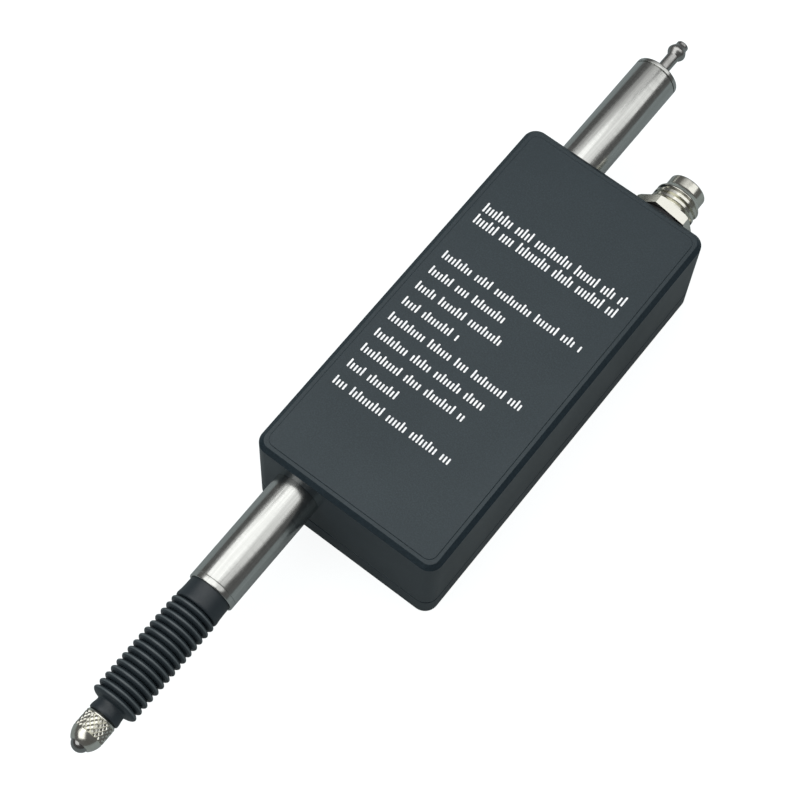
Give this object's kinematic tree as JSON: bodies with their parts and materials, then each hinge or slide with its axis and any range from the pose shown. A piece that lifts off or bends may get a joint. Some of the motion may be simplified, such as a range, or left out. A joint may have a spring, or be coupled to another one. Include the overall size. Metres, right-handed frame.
{
  "type": "grating displacement sensor",
  "caption": "Slim contact displacement sensor: flat case with a round clamping stem, rubber bellows, sliding spindle with a knurled ball tip, rear air cylinder and a round cable connector.",
  "frame": {"origin": "on the axis of the front stem, in the plane where the stem leaves the front face of the case", "axes": "-Y along the stem to the contact tip, +Y to the air nipple and the connector, +Z out of the marked face, +X from the stem towards the connector's side; the case lies on its flat back at Z = -12 mm"},
  "size_m": [0.034, 0.1536, 0.019],
  "materials": {
    "case_metal": "dark blue-grey anodised, satin",
    "panel_paint": "matte blue-grey with a fine speckle",
    "ground_steel": "ground, fine rings round the axis",
    "nickel": "nickel plated, slightly warm",
    "screw_steel": "plain steel",
    "dark_steel": "blackened steel",
    "bellows_rubber": "matte black-blue",
    "seal_rubber": "matte black",
    "brass": "turned",
    "gold_pins": "gold plated",
    "black_plastic": "moulded, black",
    "board_green": "solder resist, green",
    "cream_plastic": "moulded, cream",
    "lead_sleeve": "coloured wire sleeves",
    "optic_glass": "polished",
    "light_alloy": "milled, natural",
    "carbide": "lapped, mirror bright"
  },
  "bodies": {
    "case": {"housing": "case_metal", "face_panel": "panel_paint", "bottom_cover": "case_metal", "cover_gasket": "seal_rubber", "cover_screws": "screw_steel", "front_stem": "ground_steel", "stem_end_ring": "ground_steel", "guide_bush": "brass", "stem_clip": "screw_steel", "rear_cylinder": "ground_steel", "cylinder_clip": "screw_steel", "cylinder_gland": "brass", "cylinder_end_cap": "ground_steel", "cap_seal": "seal_rubber", "air_nipple": "nickel", "connector_shell": "nickel", "connector_seal": "seal_rubber", "connector_nut": "nickel", "connector_insert": "black_plastic", "connector_pins": "gold_pins", "main_board": "board_green", "board_screws": "screw_steel", "board_chips": "black_plastic", "wire_header": "cream_plastic", "signal_wires": "lead_sleeve", "read_head_bracket": "light_alloy", "bracket_screws": "screw_steel", "light_source": "optic_glass", "index_grating": "optic_glass", "photo_detector": "black_plastic", "guide_rail": "ground_steel", "rail_screws": "screw_steel", "bellows": "bellows_rubber", "return_spring": "screw_steel"},
    "spindle_set": {"spindle": "ground_steel", "contact_tip": "nickel", "tip_ball": "carbide", "stop_collar": "ground_steel", "scale_carrier": "light_alloy", "glass_scale": "optic_glass", "carrier_screws": "dark_steel", "anti_rotation_pin": "ground_steel", "piston": "brass", "piston_seal": "seal_rubber", "piston_nut": "screw_steel"},
    "cage_set": {"ball_cage": "brass", "bearing_balls": "carbide"}
  },
  "joints": [
    {"name": "spindle_slide", "type": "slide", "parent": "case", "child": "spindle_set", "axis": [0, -1, 0], "range_m": [0, 0.0127], "stiffness_N_per_m": 100, "springref_m": -0.008, "deforming": ["bellows", "return_spring"]},
    {"name": "cage_roll", "type": "slide", "parent": "case", "child": "cage_set", "axis": [0, -1, 0], "range_m": [0, 0.00635]}
  ],
  "couplings": [
    {"joint": "cage_roll", "follows": "spindle_slide", "ratio": 0.5}
  ]
}
